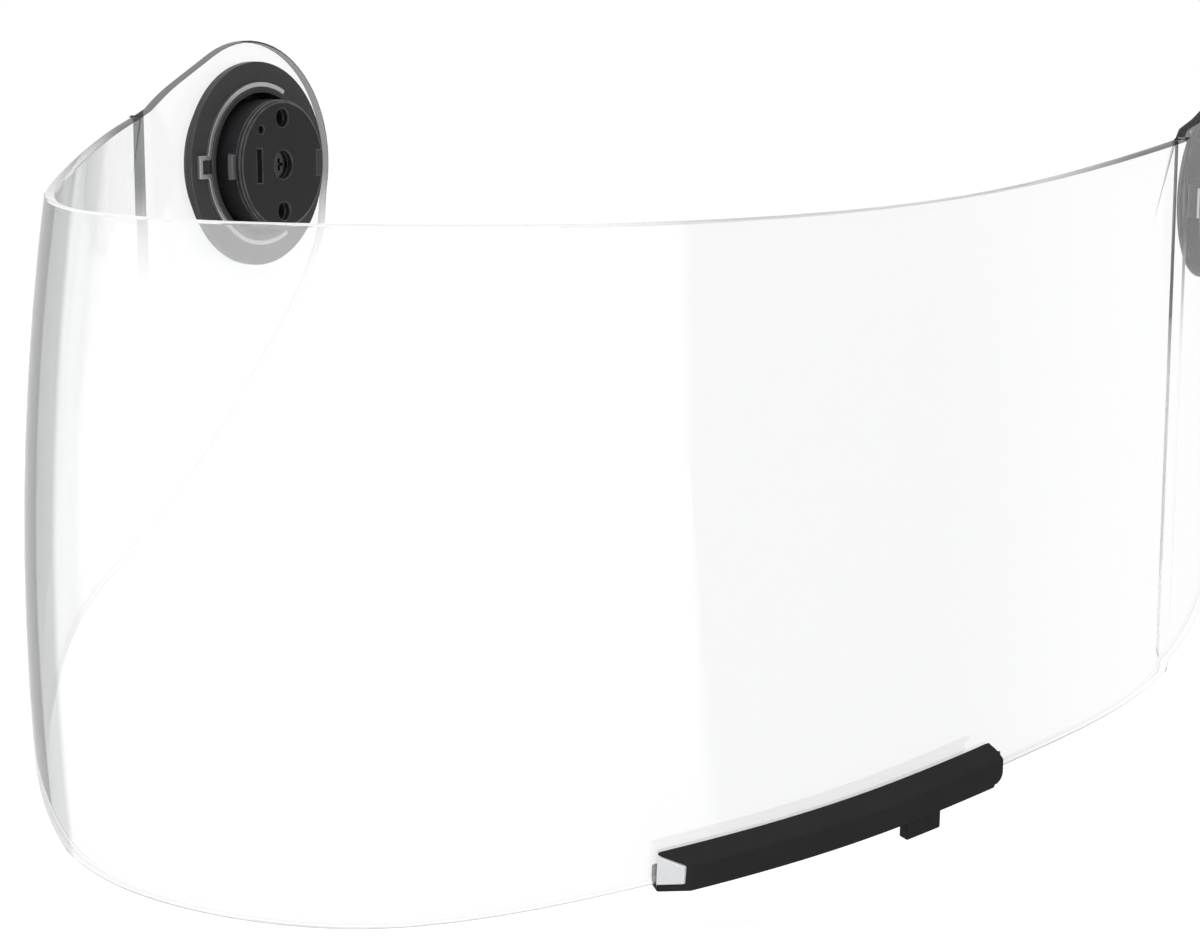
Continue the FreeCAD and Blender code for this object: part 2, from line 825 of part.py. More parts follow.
def write(name, shape):
    shape.exportStep("parts/" + name + ".step")
    box = shape.BoundBox
    print("%-22s solids %d valid %s volume %.1f x %.1f..%.1f y %.1f..%.1f z %.1f..%.1f" % (
        name, len(shape.Solids), shape.isValid(), shape.Volume, box.XMin, box.XMax,
        box.YMin, box.YMax, box.ZMin, box.ZMax))


os.makedirs("parts", exist_ok=True)
for node, maker in single_makers.items():
    write(node, maker())
for node, maker in pair_makers.items():
    made = maker()
    write(node + "_left", made)
    write(node + "_right", turned(made) if node in coils else mirrored(made))
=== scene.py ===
"""Finishes a packed motorcycle helmet visor: a clear shell with two pivots and an opening tab.

Every piece comes from the packed part and gets its material; most are rounded at their moulded
or stamped edges. The part's frame is in metres: +Z is up, the visor faces -Y and +X is the wearer's
left.
"""
import json
import math
from typing import NamedTuple

import bmesh
import bpy
import numpy as np
from bpy.props import FloatProperty, FloatVectorProperty, IntProperty, PointerProperty
from bpy.types import Operator, Panel, PropertyGroup
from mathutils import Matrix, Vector
from mathutils.kdtree import KDTree

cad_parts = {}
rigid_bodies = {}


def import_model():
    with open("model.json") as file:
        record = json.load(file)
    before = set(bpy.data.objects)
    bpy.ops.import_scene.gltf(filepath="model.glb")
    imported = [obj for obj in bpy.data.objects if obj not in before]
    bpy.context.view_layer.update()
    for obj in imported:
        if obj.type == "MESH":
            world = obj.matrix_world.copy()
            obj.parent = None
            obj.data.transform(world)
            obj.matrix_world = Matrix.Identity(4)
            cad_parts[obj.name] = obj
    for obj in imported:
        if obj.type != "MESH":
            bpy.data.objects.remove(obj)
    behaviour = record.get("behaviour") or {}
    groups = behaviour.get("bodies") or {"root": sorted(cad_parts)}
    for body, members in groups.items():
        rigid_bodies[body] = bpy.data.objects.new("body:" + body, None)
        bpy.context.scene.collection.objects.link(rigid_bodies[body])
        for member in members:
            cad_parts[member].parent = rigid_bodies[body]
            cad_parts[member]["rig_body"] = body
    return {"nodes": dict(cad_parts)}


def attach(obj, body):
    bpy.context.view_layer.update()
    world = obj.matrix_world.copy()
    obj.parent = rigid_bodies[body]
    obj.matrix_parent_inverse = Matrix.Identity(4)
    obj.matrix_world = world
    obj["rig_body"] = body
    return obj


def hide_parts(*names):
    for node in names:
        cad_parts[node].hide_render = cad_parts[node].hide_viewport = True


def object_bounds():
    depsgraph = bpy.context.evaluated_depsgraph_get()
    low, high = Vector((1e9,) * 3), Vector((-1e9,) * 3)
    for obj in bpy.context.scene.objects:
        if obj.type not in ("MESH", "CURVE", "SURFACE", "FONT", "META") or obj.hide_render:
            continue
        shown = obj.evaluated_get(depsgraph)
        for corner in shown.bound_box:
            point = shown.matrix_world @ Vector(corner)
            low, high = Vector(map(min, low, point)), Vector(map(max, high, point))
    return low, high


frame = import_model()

bl_info = {
    "name": "Helmet Visor Finish",
    "version": (1, 0, 0),
    "blender": (4, 5, 0),
    "location": "3D View > Sidebar > Visor",
    "description": "Rounds and finishes the pieces of a helmet visor and sets its studio",
    "category": "Object",
}

cad_low, cad_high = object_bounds()
sides = ("left", "right")
front_zone, step_zone, ear_zone = range(3)


# Settings

class VisorSizes(PropertyGroup):
    """The shell's wall, and how far the edges of each kind of piece are rounded."""

    wall: FloatProperty(
        name="Wall", description="Thickness of the clear shell", default=0.0022, unit="LENGTH")
    step_slope: FloatProperty(
        name="Step slope",
        description="Outer faces that look back by more than this are the ear's step",
        default=0.1, min=0, max=1)
    patch_corners: IntProperty(
        name="Patch corners", description="Corners that each curved patch is laid through",
        default=18, min=6, max=60)
    lens_edge: FloatProperty(
        name="Shell edge", description="Polished rounding along the edge of the clear shell",
        default=0.0005, unit="LENGTH")
    ring_edge: FloatProperty(
        name="Ring edge", description="Moulded rounding on the rings in the ears",
        default=0.0002, unit="LENGTH")
    clip_edge: FloatProperty(
        name="Clip edge", description="Tumbled rounding on the flat spring clips",
        default=0.00012, unit="LENGTH")
    cap_edge: FloatProperty(
        name="Cap edge", description="Moulded rounding on the outer caps",
        default=0.00015, unit="LENGTH")
    screw_edge: FloatProperty(
        name="Screw edge", description="Rounding on screw heads and their slots",
        default=0.00006, unit="LENGTH")
    hub_edge: FloatProperty(
        name="Hub edge", description="Moulded rounding on the hubs and their covers",
        default=0.00025, unit="LENGTH")
    slider_edge: FloatProperty(
        name="Slider edge", description="Moulded rounding on the lock sliders",
        default=0.00012, unit="LENGTH")
    tab_edge: FloatProperty(
        name="Tab edge", description="Moulded rounding on the opening tab",
        default=0.00035, unit="LENGTH")
    core_edge: FloatProperty(
        name="Core edge", description="Moulded rounding on the light strip inside the tab",
        default=0.00015, unit="LENGTH")
    steps: IntProperty(
        name="Rounding steps", description="Faces across each rounded edge",
        default=3, min=1, max=6)
    merge_gap: FloatProperty(
        name="Merge gap", description="Corners closer than this become one",
        default=0.00002, unit="LENGTH", precision=6)
    flat_angle: FloatProperty(
        name="Flat angle", description="Faces that meet at less than this become one",
        default=math.radians(0.1), subtype="ANGLE")
    sharp_angle: FloatProperty(
        name="Sharp angle", description="Edges that turn more than this are rounded",
        default=math.radians(32), subtype="ANGLE")


class LensLook(PropertyGroup):
    """Finish of the clear shell."""

    tint: FloatVectorProperty(
        name="Tint", description="What the clear wall lets through", subtype="COLOR",
        default=(0.992, 0.995, 0.997), min=0, max=1)
    edge_tint: FloatVectorProperty(
        name="Edge tint", description="What the cut edge lets through along the front",
        subtype="COLOR", default=(0.96, 0.968, 0.972), min=0, max=1)
    # Painted shade on the cut edge, placed by Y and height: grey along the sides, dark along the
    # ears' tops
    side_edge_painted_shade: FloatVectorProperty(
        name="Side edge tint", description="What the cut edge lets through along the sides",
        subtype="COLOR", default=(0.66, 0.67, 0.675), min=0, max=1)
    side_edge_front: FloatProperty(
        name="Side edge front", description="Where the sides' cut edge starts, along Y",
        default=-0.132, unit="LENGTH")
    side_edge_back: FloatProperty(
        name="Side edge back", description="Where the sides' cut edge has its full tone, along Y",
        default=-0.12, unit="LENGTH")
    ear_edge_painted_shade: FloatVectorProperty(
        name="Ear edge tint", description="What the cut edge lets through along the ears",
        subtype="COLOR", default=(0.06, 0.062, 0.064), min=0, max=1)
    ear_edge_front: FloatProperty(
        name="Ear edge front", description="Where the cut edge starts to darken, along Y",
        default=-0.095, unit="LENGTH")
    ear_edge_back: FloatProperty(
        name="Ear edge back", description="Where the cut edge is dark, along Y",
        default=-0.05, unit="LENGTH")
    # Painted shade on the slope of the ear's step, full at the top
    step_painted_shade: FloatVectorProperty(
        name="Step tint", description="What the slope of the ear's step lets through",
        subtype="COLOR", default=(0.06, 0.062, 0.065), min=0, max=1)
    # Painted shade where the wall turns away from the view and where it is seen along its surface
    grazing_painted_shade: FloatVectorProperty(
        name="Grazing tint", description="What the wall lets through where it starts to turn away",
        subtype="COLOR", default=(0.68, 0.688, 0.692), min=0, max=1)
    outline_painted_shade: FloatVectorProperty(
        name="Outline tint", description="What the wall lets through when seen along its surface",
        subtype="COLOR", default=(0.43, 0.438, 0.442), min=0, max=1)
    grazing_start: FloatProperty(
        name="Grazing start", description="Facing at which the wall starts to darken",
        default=0.705, min=0, max=1)
    grazing_end: FloatProperty(
        name="Grazing end", description="Facing at which the first darkening is complete",
        default=0.745, min=0, max=1)
    # Heights over which the painted shade of the ear's step and of the ears' cut edge fades in
    fade_low: FloatProperty(
        name="Fade low", description="Height under which the ear's step and edges are pale",
        default=-0.03, unit="LENGTH")
    fade_high: FloatProperty(
        name="Fade high", description="Height over which the ear's step and edges are dark",
        default=-0.002, unit="LENGTH")
    clearness: FloatProperty(
        name="Clearness", description="Share of the light that passes the plastic unscattered",
        default=0.93, min=0, max=1, subtype="FACTOR")
    ear_coat: FloatProperty(
        name="Ear coat", description="Share of the shine that the ears have",
        default=0.2, min=0, max=1, subtype="FACTOR")
    outline_coat: FloatProperty(
        name="Outline coat",
        description="Share of the shine where the wall is seen along its surface",
        default=0.4, min=0, max=1, subtype="FACTOR")
    edge_coat: FloatProperty(
        name="Edge coat", description="Share of the shine that the ears' cut edges have",
        default=0.06, min=0, max=1, subtype="FACTOR")
    wall_refraction: FloatProperty(
        name="Wall index", description="Index of the wall, whose two even faces hardly bend light",
        default=1.02, min=1, max=2)
    edge_refraction: FloatProperty(
        name="Edge index", description="Index of the cut edge", default=1.05, min=1, max=2)
    coat_refraction: FloatProperty(
        name="Coat index", description="Index of the hard coat", default=2.35, min=1, max=3)
    coat_roughness: FloatProperty(
        name="Coat roughness", description="Roughness of the hard coat",
        default=0.02, min=0, max=1)
    shadow: FloatProperty(
        name="Light through", description="Light of the lamps that gets through the shell",
        default=0.9, min=0, max=1, subtype="FACTOR")


class PlasticLook(PropertyGroup):
    """Colours and grain of the moulded pieces."""

    ring: FloatVectorProperty(
        name="Ring", description="Colour of the rings in the ears", subtype="COLOR",
        default=(0.055, 0.055, 0.057), min=0, max=1)
    cap: FloatVectorProperty(
        name="Cap", description="Colour of the outer caps", subtype="COLOR",
        default=(0.022, 0.022, 0.024), min=0, max=1)
    hub: FloatVectorProperty(
        name="Hub", description="Colour of the hubs", subtype="COLOR",
        default=(0.020, 0.020, 0.022), min=0, max=1)
    cover: FloatVectorProperty(
        name="Hub cover", description="Colour of the hubs' covers", subtype="COLOR",
        default=(0.024, 0.024, 0.026), min=0, max=1)
    slider: FloatVectorProperty(
        name="Slider", description="Colour of the lock sliders", subtype="COLOR",
        default=(0.12, 0.12, 0.125), min=0, max=1)
    tab: FloatVectorProperty(
        name="Tab", description="Colour of the opening tab", subtype="COLOR",
        default=(0.025, 0.025, 0.026), min=0, max=1)
    core: FloatVectorProperty(
        name="Tab core", description="Colour of the light strip inside the tab", subtype="COLOR",
        default=(0.74, 0.75, 0.76), min=0, max=1)
    strip: FloatVectorProperty(
        name="Bonding strip", description="Colour of the strip that holds the tab",
        subtype="COLOR", default=(0.1, 0.1, 0.105), min=0, max=1)
    nylon: FloatVectorProperty(
        name="Nylon", description="Colour of the natural nylon pieces", subtype="COLOR",
        default=(0.74, 0.72, 0.66), min=0, max=1)
    grain_size: FloatProperty(
        name="Grain size", description="Size of the grain that the mould leaves",
        default=0.0004, unit="LENGTH", precision=5)
    grain_depth: FloatProperty(
        name="Grain depth", description="Height of the mould's grain",
        default=0.00002, unit="LENGTH", precision=6)
    patch_size: FloatProperty(
        name="Patch size", description="Size of the faint dull and bright patches",
        default=0.009, unit="LENGTH")
    shine: FloatProperty(
        name="Shine", description="Specular level of the moulded pieces",
        default=0.14, min=0, max=1)
    # Paler edges: wear, and a painted highlight on the rims
    edge_highlight_and_wear: FloatProperty(
        name="Edge shade", description="How much paler handled edges are",
        default=0.1, min=0, max=1, subtype="FACTOR")


class MetalLook(PropertyGroup):
    """Colours and marks of the steel pieces."""

    clip: FloatVectorProperty(
        name="Clip", description="Colour of the flat spring steel", subtype="COLOR",
        default=(0.62, 0.62, 0.63), min=0, max=1)
    screw: FloatVectorProperty(
        name="Screw", description="Colour of the dark plated screws", subtype="COLOR",
        default=(0.20, 0.20, 0.21), min=0, max=1)
    pin: FloatVectorProperty(
        name="Pin", description="Colour of the turned pins", subtype="COLOR",
        default=(0.085, 0.085, 0.09), min=0, max=1)
    wire: FloatVectorProperty(
        name="Wire", description="Colour of the spring wire", subtype="COLOR",
        default=(0.60, 0.60, 0.62), min=0, max=1)
    mark_size: FloatProperty(
        name="Mark size", description="Distance between rolling marks", default=0.00025,
        unit="LENGTH", precision=5)
    mark_depth: FloatProperty(
        name="Mark depth", description="Height of rolling marks", default=0.000006,
        unit="LENGTH", precision=6)


class StageLook(PropertyGroup):
    """Camera, floor and light."""

    camera_place: FloatVectorProperty(
        name="Camera place", description="Where the photograph was taken from", size=3,
        default=(0.2622, -0.4521, 0.0285), subtype="TRANSLATION")
    camera_turn: FloatProperty(
        name="Camera turn", description="Turn of the camera from straight ahead towards -X",
        default=math.radians(32.25), subtype="ANGLE")
    camera_dip: FloatProperty(
        name="Camera dip", description="How far the camera looks down",
        default=math.radians(10.02), subtype="ANGLE")
    focal_length: FloatProperty(
        name="Focal length", description="Of the camera, on a picture 36 mm wide",
        default=71.97, min=10, max=300, unit="CAMERA")
    floor_size: FloatProperty(
        name="Floor size", description="Width of the pale floor", default=8.0, unit="LENGTH")
    floor_tone: FloatProperty(
        name="Floor tone", description="Grey of the floor under the lamps",
        default=0.9, min=0, max=1)
    floor_gap: FloatProperty(
        name="Floor gap", description="Air under the lowest point", default=0.0004, unit="LENGTH")
    floor_shade: FloatProperty(
        name="Floor shade", description="Share of the floor's tone that comes from the lamps",
        default=0.35, min=0, max=1, subtype="FACTOR")
    sky: FloatProperty(
        name="Sky", description="Strength of the even light from all round",
        default=0.5, min=0, max=2)
    room: FloatProperty(
        name="Room", description="Tone of the studio's dimmer half in the pieces' gloss",
        default=0.64, min=0, max=1)
    room_side: FloatVectorProperty(
        name="Room side", description="Direction towards the dimmer half of the studio", size=3,
        default=(0.477, 0.879, 0.0), subtype="DIRECTION")
    room_line: FloatProperty(
        name="Room line",
        description="Where the dimmer half of the floor starts, along that direction",
        default=-0.07, unit="LENGTH")
    lamp_width: FloatProperty(
        name="Lamp width", description="Side of the square soft lamps",
        default=1.0, unit="LENGTH")
    key_place: FloatVectorProperty(
        name="Key place", description="Where the lamp above stands", size=3,
        default=(-0.6, -0.6, 1.1), subtype="TRANSLATION")
    key_power: FloatProperty(
        name="Key light", description="Power of the lamp above",
        default=14.0, min=0, unit="POWER")
    fill_place: FloatVectorProperty(
        name="Fill place", description="Where the lamp beside the camera stands", size=3,
        default=(1.0, -0.7, 0.5), subtype="TRANSLATION")
    fill_power: FloatProperty(
        name="Fill light", description="Power of the lamp beside the camera",
        default=4.0, min=0, unit="POWER")


class Finish(NamedTuple):
    """How a moulded surface looks, apart from its colour."""

    roughness: float
    grain_share: float = 1.0
    # Share of the paler edges, which are wear and a painted highlight
    highlight_and_wear_share: float = 1.0
    shine_share: float = 1.0


moulded_finishes = {
    "ring_satin": Finish(roughness=0.38, highlight_and_wear_share=0.5),
    "cap_gloss": Finish(roughness=0.25, grain_share=0.5),
    "hub_satin": Finish(roughness=0.4),
    "hub_cover_satin": Finish(roughness=0.36),
    "slider_satin": Finish(roughness=0.4),
    "tab_satin": Finish(roughness=0.42, highlight_and_wear_share=0.0, shine_share=0.2),
    "tab_core_grey": Finish(roughness=0.5),
    "natural_nylon": Finish(roughness=0.5, highlight_and_wear_share=0.0),
    "bonding_strip": Finish(roughness=0.6, highlight_and_wear_share=0.0),
}
steel_roughness = {
    "clip_steel": 0.3,
    "plated_steel": 0.34,
    "turned_steel": 0.22,
    "spring_wire": 0.2,
}


# Materials

def new_group(name, inputs, outputs):
    """An empty node group with float inputs given as (name, default) and typed outputs."""
    group = bpy.data.node_groups.new(name, "ShaderNodeTree")
    for title, value in inputs:
        socket = group.interface.new_socket(title, in_out="INPUT", socket_type="NodeSocketFloat")
        socket.default_value = value
    for title, kind in outputs:
        group.interface.new_socket(title, in_out="OUTPUT", socket_type=kind)
    return group, group.nodes.new("NodeGroupInput"), group.nodes.new("NodeGroupOutput")


def math_node(tree, operation, *values):
    """A Math node on numbers or output sockets."""
    node = tree.nodes.new("ShaderNodeMath")
    node.operation = operation
    for socket, value in zip(node.inputs, values):
        if isinstance(value, (int, float)):
            socket.default_value = value
        else:
            tree.links.new(value, socket)
    return node.outputs[0]


def rest_of(tree, share):
    """What is left of 1 beside a share."""
    return math_node(tree, "SUBTRACT", 1.0, share)


def between(tree, share, first, second):
    """The number that lies this share of the way from the first to the second."""
    rise = math_node(tree, "SUBTRACT", second, first)
    return math_node(tree, "MULTIPLY_ADD", share, rise, first)


def own_place(tree):
    """The place of a point on the piece."""
    return tree.nodes.new("ShaderNodeTexCoord").outputs["Object"]


def split(tree, place):
    """The X, Y and Z of a place."""
    parts = tree.nodes.new("ShaderNodeSeparateXYZ")
    tree.links.new(place, parts.inputs[0])
    return parts.outputs


def face_mark(tree, name):
    """A mark that a piece carries on its faces, 1 or 0."""
    mark = tree.nodes.new("ShaderNodeAttribute")
    mark.attribute_name = name
    return mark.outputs["Fac"]


def noise_node(tree, size, detail, stretch=(1, 1, 1)):
    """Noise over the piece, from -1 to 1, with patches of about this size."""
    mapping = tree.nodes.new("ShaderNodeMapping")
    mapping.inputs["Scale"].default_value = stretch
    tree.links.new(own_place(tree), mapping.inputs["Vector"])
    noise = tree.nodes.new("ShaderNodeTexNoise")
    noise.inputs["Detail"].default_value = detail
    tree.links.new(mapping.outputs[0], noise.inputs["Vector"])
    tree.links.new(math_node(tree, "DIVIDE", 1.0, size), noise.inputs["Scale"])
    return math_node(tree, "MULTIPLY_ADD", noise.outputs["Fac"], 2.0, -1.0)


def moulded_grain():
    """Grain that a mould leaves: a height, a roughness and a shade that vary over the piece."""
    group, given, result = new_group(
        "moulded_grain",
        (("Grain Size", 0.0004), ("Patch Size", 0.009), ("Roughness", 0.4), ("Spread", 0.1)),
        (("Height", "NodeSocketFloat"), ("Roughness", "NodeSocketFloat"),
         ("Shade", "NodeSocketFloat")))
    patch_shade, grain_shade = 0.12, 0.06
    grain = noise_node(group, given.outputs["Grain Size"], detail=3.0)
    patch = noise_node(group, given.outputs["Patch Size"], detail=4.0)
    swing = math_node(group, "MULTIPLY", patch, given.outputs["Spread"])
    rough = math_node(group, "ADD", given.outputs["Roughness"], swing)
    shade = math_node(group, "ADD", math_node(group, "MULTIPLY_ADD", patch, patch_shade, 1.0),
                      math_node(group, "MULTIPLY", grain, grain_shade))
    group.links.new(grain, result.inputs["Height"])
    group.links.new(rough, result.inputs["Roughness"])
    group.links.new(shade, result.inputs["Shade"])
    return group


def edge_wear_and_highlight():
    """Where a rounded edge is paler, by wear and a painted highlight: 1 on its faces, broken by
    patches.
    """
    group, given, result = new_group(
        "edge_wear_and_highlight", (("Patch Size", 0.003), ("Amount", 1.0)), (("Mask", "NodeSocketFloat"),))
    swing, middle = 0.9, 0.55
    patch = noise_node(group, given.outputs["Patch Size"], detail=3.0)
    broken = math_node(group, "MULTIPLY_ADD", patch, swing, middle)
    mask = math_node(group, "MULTIPLY", face_mark(group, "rounded_edge"), broken)
    mask = math_node(group, "MULTIPLY", mask, given.outputs["Amount"])
    held = group.nodes.new("ShaderNodeClamp")
    group.links.new(mask, held.inputs["Value"])
    group.links.new(held.outputs[0], result.inputs["Mask"])
    return group


def rolling_marks():
    """Fine marks that rolling or turning leaves on steel: a height, a roughness and a shade."""
    group, given, result = new_group(
        "rolling_marks", (("Mark Size", 0.00025), ("Roughness", 0.3), ("Spread", 0.12)),
        (("Height", "NodeSocketFloat"), ("Roughness", "NodeSocketFloat"),
         ("Shade", "NodeSocketFloat")))
    drawn_out, stain_shade = 0.08, 0.15
    size = given.outputs["Mark Size"]
    marks = noise_node(group, size, detail=2.0, stretch=(1, 1, drawn_out))
    stain = noise_node(group, size, detail=2.0, stretch=(drawn_out, drawn_out, drawn_out))
    swing = math_node(group, "MULTIPLY", math_node(group, "ADD", marks, stain),
                      given.outputs["Spread"])
    group.links.new(marks, result.inputs["Height"])
    group.links.new(math_node(group, "ADD", given.outputs["Roughness"], swing),
                    result.inputs["Roughness"])
    group.links.new(math_node(group, "MULTIPLY_ADD", stain, stain_shade, 1.0),
                    result.inputs["Shade"])
    return group


def new_material(name):
    """A material with a Principled BSDF, its node tree and the BSDF."""
    material = bpy.data.materials.new(name)
    material.use_nodes = True
    return material, material.node_tree, material.node_tree.nodes["Principled BSDF"]


def add_group(tree, name, maker, **values):
    """A node of a group that is made at its first use, with values for its inputs by name."""
    node = tree.nodes.new("ShaderNodeGroup")
    node.node_tree = bpy.data.node_groups.get(name) or maker()
    for title, value in values.items():
        node.inputs[title.replace("_", " ").title()].default_value = value
    return node


def shaded(tree, colour, shade):
    """The colour times a shade that varies over the piece."""
    scaled = tree.nodes.new("ShaderNodeVectorMath")
    scaled.operation = "SCALE"
    scaled.inputs[0].default_value = colour
    tree.links.new(shade, scaled.inputs["Scale"])
    return scaled.outputs[0]


def bump(tree, shader, height, depth):
    """Feeds a height, times a depth in metres, to the shader's normal."""
    node = tree.nodes.new("ShaderNodeBump")
    node.inputs["Strength"].default_value = 1.0
    node.inputs["Distance"].default_value = depth
    tree.links.new(height, node.inputs["Height"])
    tree.links.new(node.outputs[0], shader.inputs["Normal"])


def ramp(tree, value, low, high):
    """0 below one value and 1 above another, with a smooth rise between."""
    node = tree.nodes.new("ShaderNodeMapRange")
    node.interpolation_type = "SMOOTHSTEP"
    node.inputs["From Min"].default_value = low
    node.inputs["From Max"].default_value = high
    tree.links.new(value, node.inputs["Value"])
    return node.outputs["Result"]


def mixed(tree, share, first, second):
    """The mix of two colours, each a value or an output socket."""
    mix = tree.nodes.new("ShaderNodeMix")
    mix.data_type = "RGBA"
    tree.links.new(share, mix.inputs["Factor"])
    for title, colour in (("A", first), ("B", second)):
        if isinstance(colour, bpy.types.NodeSocket):
            tree.links.new(colour, mix.inputs[title])
        else:
            mix.inputs[title].default_value = (*colour, 1)
    return mix.outputs["Result"]


def mixed_shader(tree, share, first, second):
    """The mix of two shaders."""
    mix = tree.nodes.new("ShaderNodeMixShader")
    for socket, source in zip(mix.inputs, (share, first, second)):
        tree.links.new(source, socket)
    return mix.outputs[0]


def plastic(name, colour):
    """Moulded plastic with the mould's grain, and edges paler by wear and a painted highlight."""
    if name in bpy.data.materials:
        return bpy.data.materials[name]
    look, finish = bpy.context.scene.visor_plastic, moulded_finishes[name]
    material, tree, shader = new_material(name)
    grain = add_group(tree, "moulded_grain", moulded_grain, grain_size=look.grain_size,
                      patch_size=look.patch_size, roughness=finish.roughness)
    paled_edge = add_group(tree, "edge_wear_and_highlight", edge_wear_and_highlight, amount=finish.highlight_and_wear_share)
    # The edges' pale colour is wear and a painted highlight
    pale = [min(1.0, part + look.edge_highlight_and_wear) for part in colour]
    body = shaded(tree, colour, grain.outputs["Shade"])
    tree.links.new(mixed(tree, paled_edge.outputs["Mask"], body, pale), shader.inputs["Base Color"])
    shader.inputs["Specular IOR Level"].default_value = look.shine * finish.shine_share
    tree.links.new(grain.outputs["Roughness"], shader.inputs["Roughness"])
    bump(tree, shader, grain.outputs["Height"], look.grain_depth * finish.grain_share)
    return material


def steel(name, colour):
    """Steel with rolling or turning marks."""
    if name in bpy.data.materials:
        return bpy.data.materials[name]
    look = bpy.context.scene.visor_metal
    material, tree, shader = new_material(name)
    marks = add_group(tree, "rolling_marks", rolling_marks, mark_size=look.mark_size,
                      roughness=steel_roughness[name])
    shader.inputs["Metallic"].default_value = 1.0
    tree.links.new(shaded(tree, colour, marks.outputs["Shade"]), shader.inputs["Base Color"])
    tree.links.new(marks.outputs["Roughness"], shader.inputs["Roughness"])
    bump(tree, shader, marks.outputs["Height"], look.mark_depth)
    return material


def clear_plastic(name, refraction):
    """Clear hard-coated plastic that lets the lamps through, with no colour yet."""
    look = bpy.context.scene.visor_lens
    material, tree, shader = new_material(name)
    shader.inputs["Roughness"].default_value = 0.0
    shader.inputs["IOR"].default_value = refraction
    shader.inputs["Transmission Weight"].default_value = look.clearness
    shader.inputs["Coat IOR"].default_value = look.coat_refraction
    shader.inputs["Coat Roughness"].default_value = look.coat_roughness
    open_to_lamps = tree.nodes.new("ShaderNodeBsdfTransparent")
    open_to_lamps.inputs["Color"].default_value = (look.shadow, look.shadow, look.shadow, 1)
    path = tree.nodes.new("ShaderNodeLightPath")
    surface = mixed_shader(tree, path.outputs["Is Shadow Ray"], shader.outputs[0],
                           open_to_lamps.outputs[0])
    tree.links.new(surface, tree.nodes["Material Output"].inputs["Surface"])
    return material, tree, shader


def ear_and_height(tree, look, place):
    """How far a place lies on the ears and how high it is, each from 0 to 1."""
    return (ramp(tree, place["Y"], look.ear_edge_front, look.ear_edge_back),
            ramp(tree, place["Z"], look.fade_low, look.fade_high))


def clear_wall():
    """The shell's wall, with painted shade where it is seen along its surface and on the ear's
    step.
    """
    look = bpy.context.scene.visor_lens
    material, tree, shader = clear_plastic("clear_wall", look.wall_refraction)
    weight = tree.nodes.new("ShaderNodeLayerWeight")
    weight.inputs["Blend"].default_value = 0.5
    facing = weight.outputs["Facing"]
    ear, height = ear_and_height(tree, look, split(tree, own_place(tree)))
    slope = face_mark(tree, "step_slope")
    # Painted shade by facing: grey where the wall turns away, darker where it is seen along its
    # surface
    turned = math_node(tree, "MULTIPLY", ramp(tree, facing, look.grazing_start, look.grazing_end),
                       rest_of(tree, slope))
    away = mixed(tree, ramp(tree, facing, look.grazing_end, 1.0),
                 look.grazing_painted_shade, look.outline_painted_shade)
    colour = mixed(tree, turned, look.tint, away)
    # Painted shade on the ear's step, full at the top and fading out lower down
    step_shade_share = math_node(tree, "MULTIPLY", face_mark(tree, "ear_step"), height)
    tree.links.new(mixed(tree, step_shade_share, colour, look.step_painted_shade), shader.inputs["Base Color"])
    coat = math_node(tree, "MULTIPLY", between(tree, ear, 1.0, look.ear_coat),
                     between(tree, turned, 1.0, look.outline_coat))
    low_slope = math_node(tree, "MULTIPLY", slope, rest_of(tree, height))
    coat = math_node(tree, "MULTIPLY", coat, rest_of(tree, low_slope))
    tree.links.new(coat, shader.inputs["Coat Weight"])
    return material


def clear_edge():
    """The shell's cut edge: pale in front, with painted shade that greys it on the sides and
    darkens it along the ears' tops.
    """
    look = bpy.context.scene.visor_lens
    material, tree, shader = clear_plastic("clear_edge", look.edge_refraction)
    place = split(tree, own_place(tree))
    ear, height = ear_and_height(tree, look, place)
    # Painted shade: grey along the sides, dark along the ears' tops
    side = math_node(tree, "MULTIPLY", rest_of(tree, ear),
                     ramp(tree, place["Y"], look.side_edge_front, look.side_edge_back))
    pale = mixed(tree, side, look.edge_tint, look.side_edge_painted_shade)
    dark = math_node(tree, "MULTIPLY", ear, height)
    tree.links.new(mixed(tree, dark, pale, look.ear_edge_painted_shade), shader.inputs["Base Color"])
    tree.links.new(between(tree, dark, 1.0, look.edge_coat), shader.inputs["Coat Weight"])
    return material


# Pieces

def finished_piece(node, edge, material):
    """A piece that replaces a CAD node: its mesh with the sharp edges rounded and marked."""
    sizes = bpy.context.scene.visor_sizes
    source = frame["nodes"][node]
    mesh = bmesh.new()
    mesh.from_mesh(source.data)
    marked = mesh.faces.layers.float.new("rounded_edge")
    bmesh.ops.remove_doubles(mesh, verts=mesh.verts, dist=sizes.merge_gap)
    bmesh.ops.dissolve_limit(mesh, angle_limit=sizes.flat_angle, use_dissolve_boundaries=False,
                             verts=mesh.verts, edges=mesh.edges)
    sharp = [e for e in mesh.edges if e.calc_face_angle(0) > sizes.sharp_angle]
    made = bmesh.ops.bevel(mesh, geom=sharp, offset=edge, offset_type="OFFSET",
                           segments=sizes.steps, profile=0.5, affect="EDGES", clamp_overlap=False,
                           material=-1)
    for face in made["faces"]:
        face[marked] = 1
    for face in mesh.faces:
        face.smooth = True
    data = bpy.data.meshes.new("finished_" + node)
    mesh.to_mesh(data)
    mesh.free()
    data.set_sharp_from_angle(angle=sizes.sharp_angle)
    data.materials.append(material)
    piece = bpy.data.objects.new("finished_" + node, data)
    bpy.context.scene.collection.objects.link(piece)
    even = piece.modifiers.new("Even shading", "WEIGHTED_NORMAL")
    even.keep_sharp = True
    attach(piece, source["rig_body"])
    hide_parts(node)
    return piece


def paint(node, material):
    """Gives a CAD node that stays its material."""
    data = frame["nodes"][node].data
    data.materials.clear()
    data.materials.append(material)


